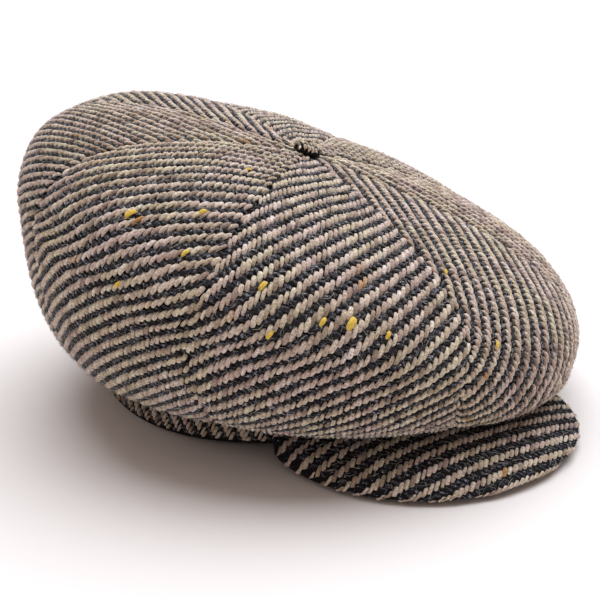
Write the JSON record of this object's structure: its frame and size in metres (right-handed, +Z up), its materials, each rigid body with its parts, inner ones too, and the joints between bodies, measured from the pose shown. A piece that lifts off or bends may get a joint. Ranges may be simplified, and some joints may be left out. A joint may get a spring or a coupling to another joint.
{
  "type": "eight-panel tweed cap",
  "caption": "Soft round wool cap with panels meeting under a covered button, a narrow headband and a stiff peak; the crown slumps over the peak.",
  "frame": {"origin": "middle of the cap's plan at the level of the rim, which rests on the floor", "axes": "+Z up out of the crown, -Y towards the peak, -X towards the wearer's right"},
  "size_m": [0.2608, 0.29, 0.1321],
  "materials": {
    "crown_tweed": "coarse matt wool twill, cream and black",
    "button_tweed": "coarse matt wool twill, stretched over a button",
    "band_tweed": "coarse matt wool twill",
    "peak_tweed": "coarse matt wool twill over a stiff board"
  },
  "bodies": {
    "root": {"crown_panel_1": "crown_tweed", "crown_panel_2": "crown_tweed", "crown_panel_3": "crown_tweed", "crown_panel_4": "crown_tweed", "crown_panel_5": "crown_tweed", "crown_panel_6": "crown_tweed", "crown_panel_7": "crown_tweed", "crown_panel_8": "crown_tweed", "crown_button": "button_tweed", "headband": "band_tweed", "peak": "peak_tweed"}
  },
  "joints": []
}
